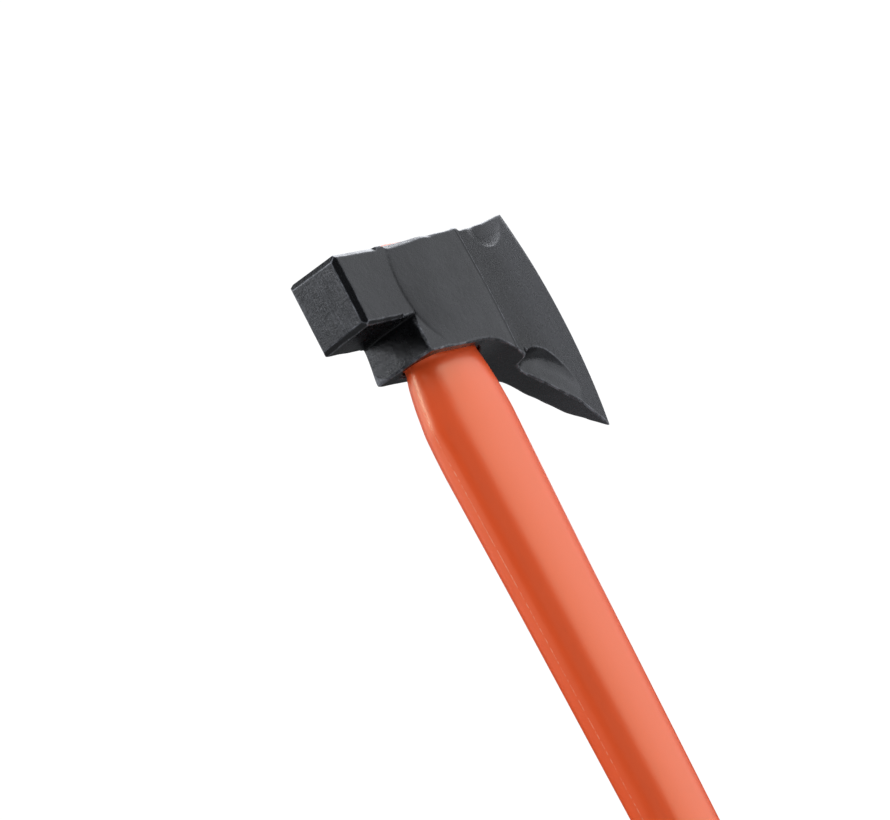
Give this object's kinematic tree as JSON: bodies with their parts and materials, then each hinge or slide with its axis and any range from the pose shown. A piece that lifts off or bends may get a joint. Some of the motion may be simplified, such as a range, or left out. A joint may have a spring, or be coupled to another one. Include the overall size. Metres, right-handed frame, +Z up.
{
  "type": "fire axe",
  "caption": "Flathead fire axe with a square striking poll, hollowed blade and straight moulded insulated handle with a rubber grip.",
  "frame": {"origin": "on the handle's axis, in the plane of the eye's underside, where a bracket carries the head", "axes": "+Z up along the handle from butt to head, +X towards the cutting edge, Y across the cheeks"},
  "size_m": [0.1786, 0.04, 0.9002],
  "materials": {
    "head_coating": "forged steel with a satin black coating, ground striking face",
    "handle_plastic": "orange moulded plastic, satin gloss, with a mould parting line",
    "core_glass_fibre": "pultruded glass-fibre rod, sawn end",
    "dam_rubber": "soft black rubber",
    "cast_resin": "dark cast epoxy resin",
    "grip_rubber": "ribbed black moulded rubber",
    "cap_rubber": "smooth black moulded rubber",
    "eyelet_metal": "stainless steel, turned"
  },
  "bodies": {
    "root": {"axe_head": "head_coating", "handle_jacket": "handle_plastic", "handle_core": "core_glass_fibre", "eye_dam": "dam_rubber", "eye_resin": "cast_resin", "grip_sleeve": "grip_rubber", "butt_cap": "cap_rubber", "hang_eyelet": "eyelet_metal", "eyelet_washer": "eyelet_metal"}
  },
  "joints": []
}
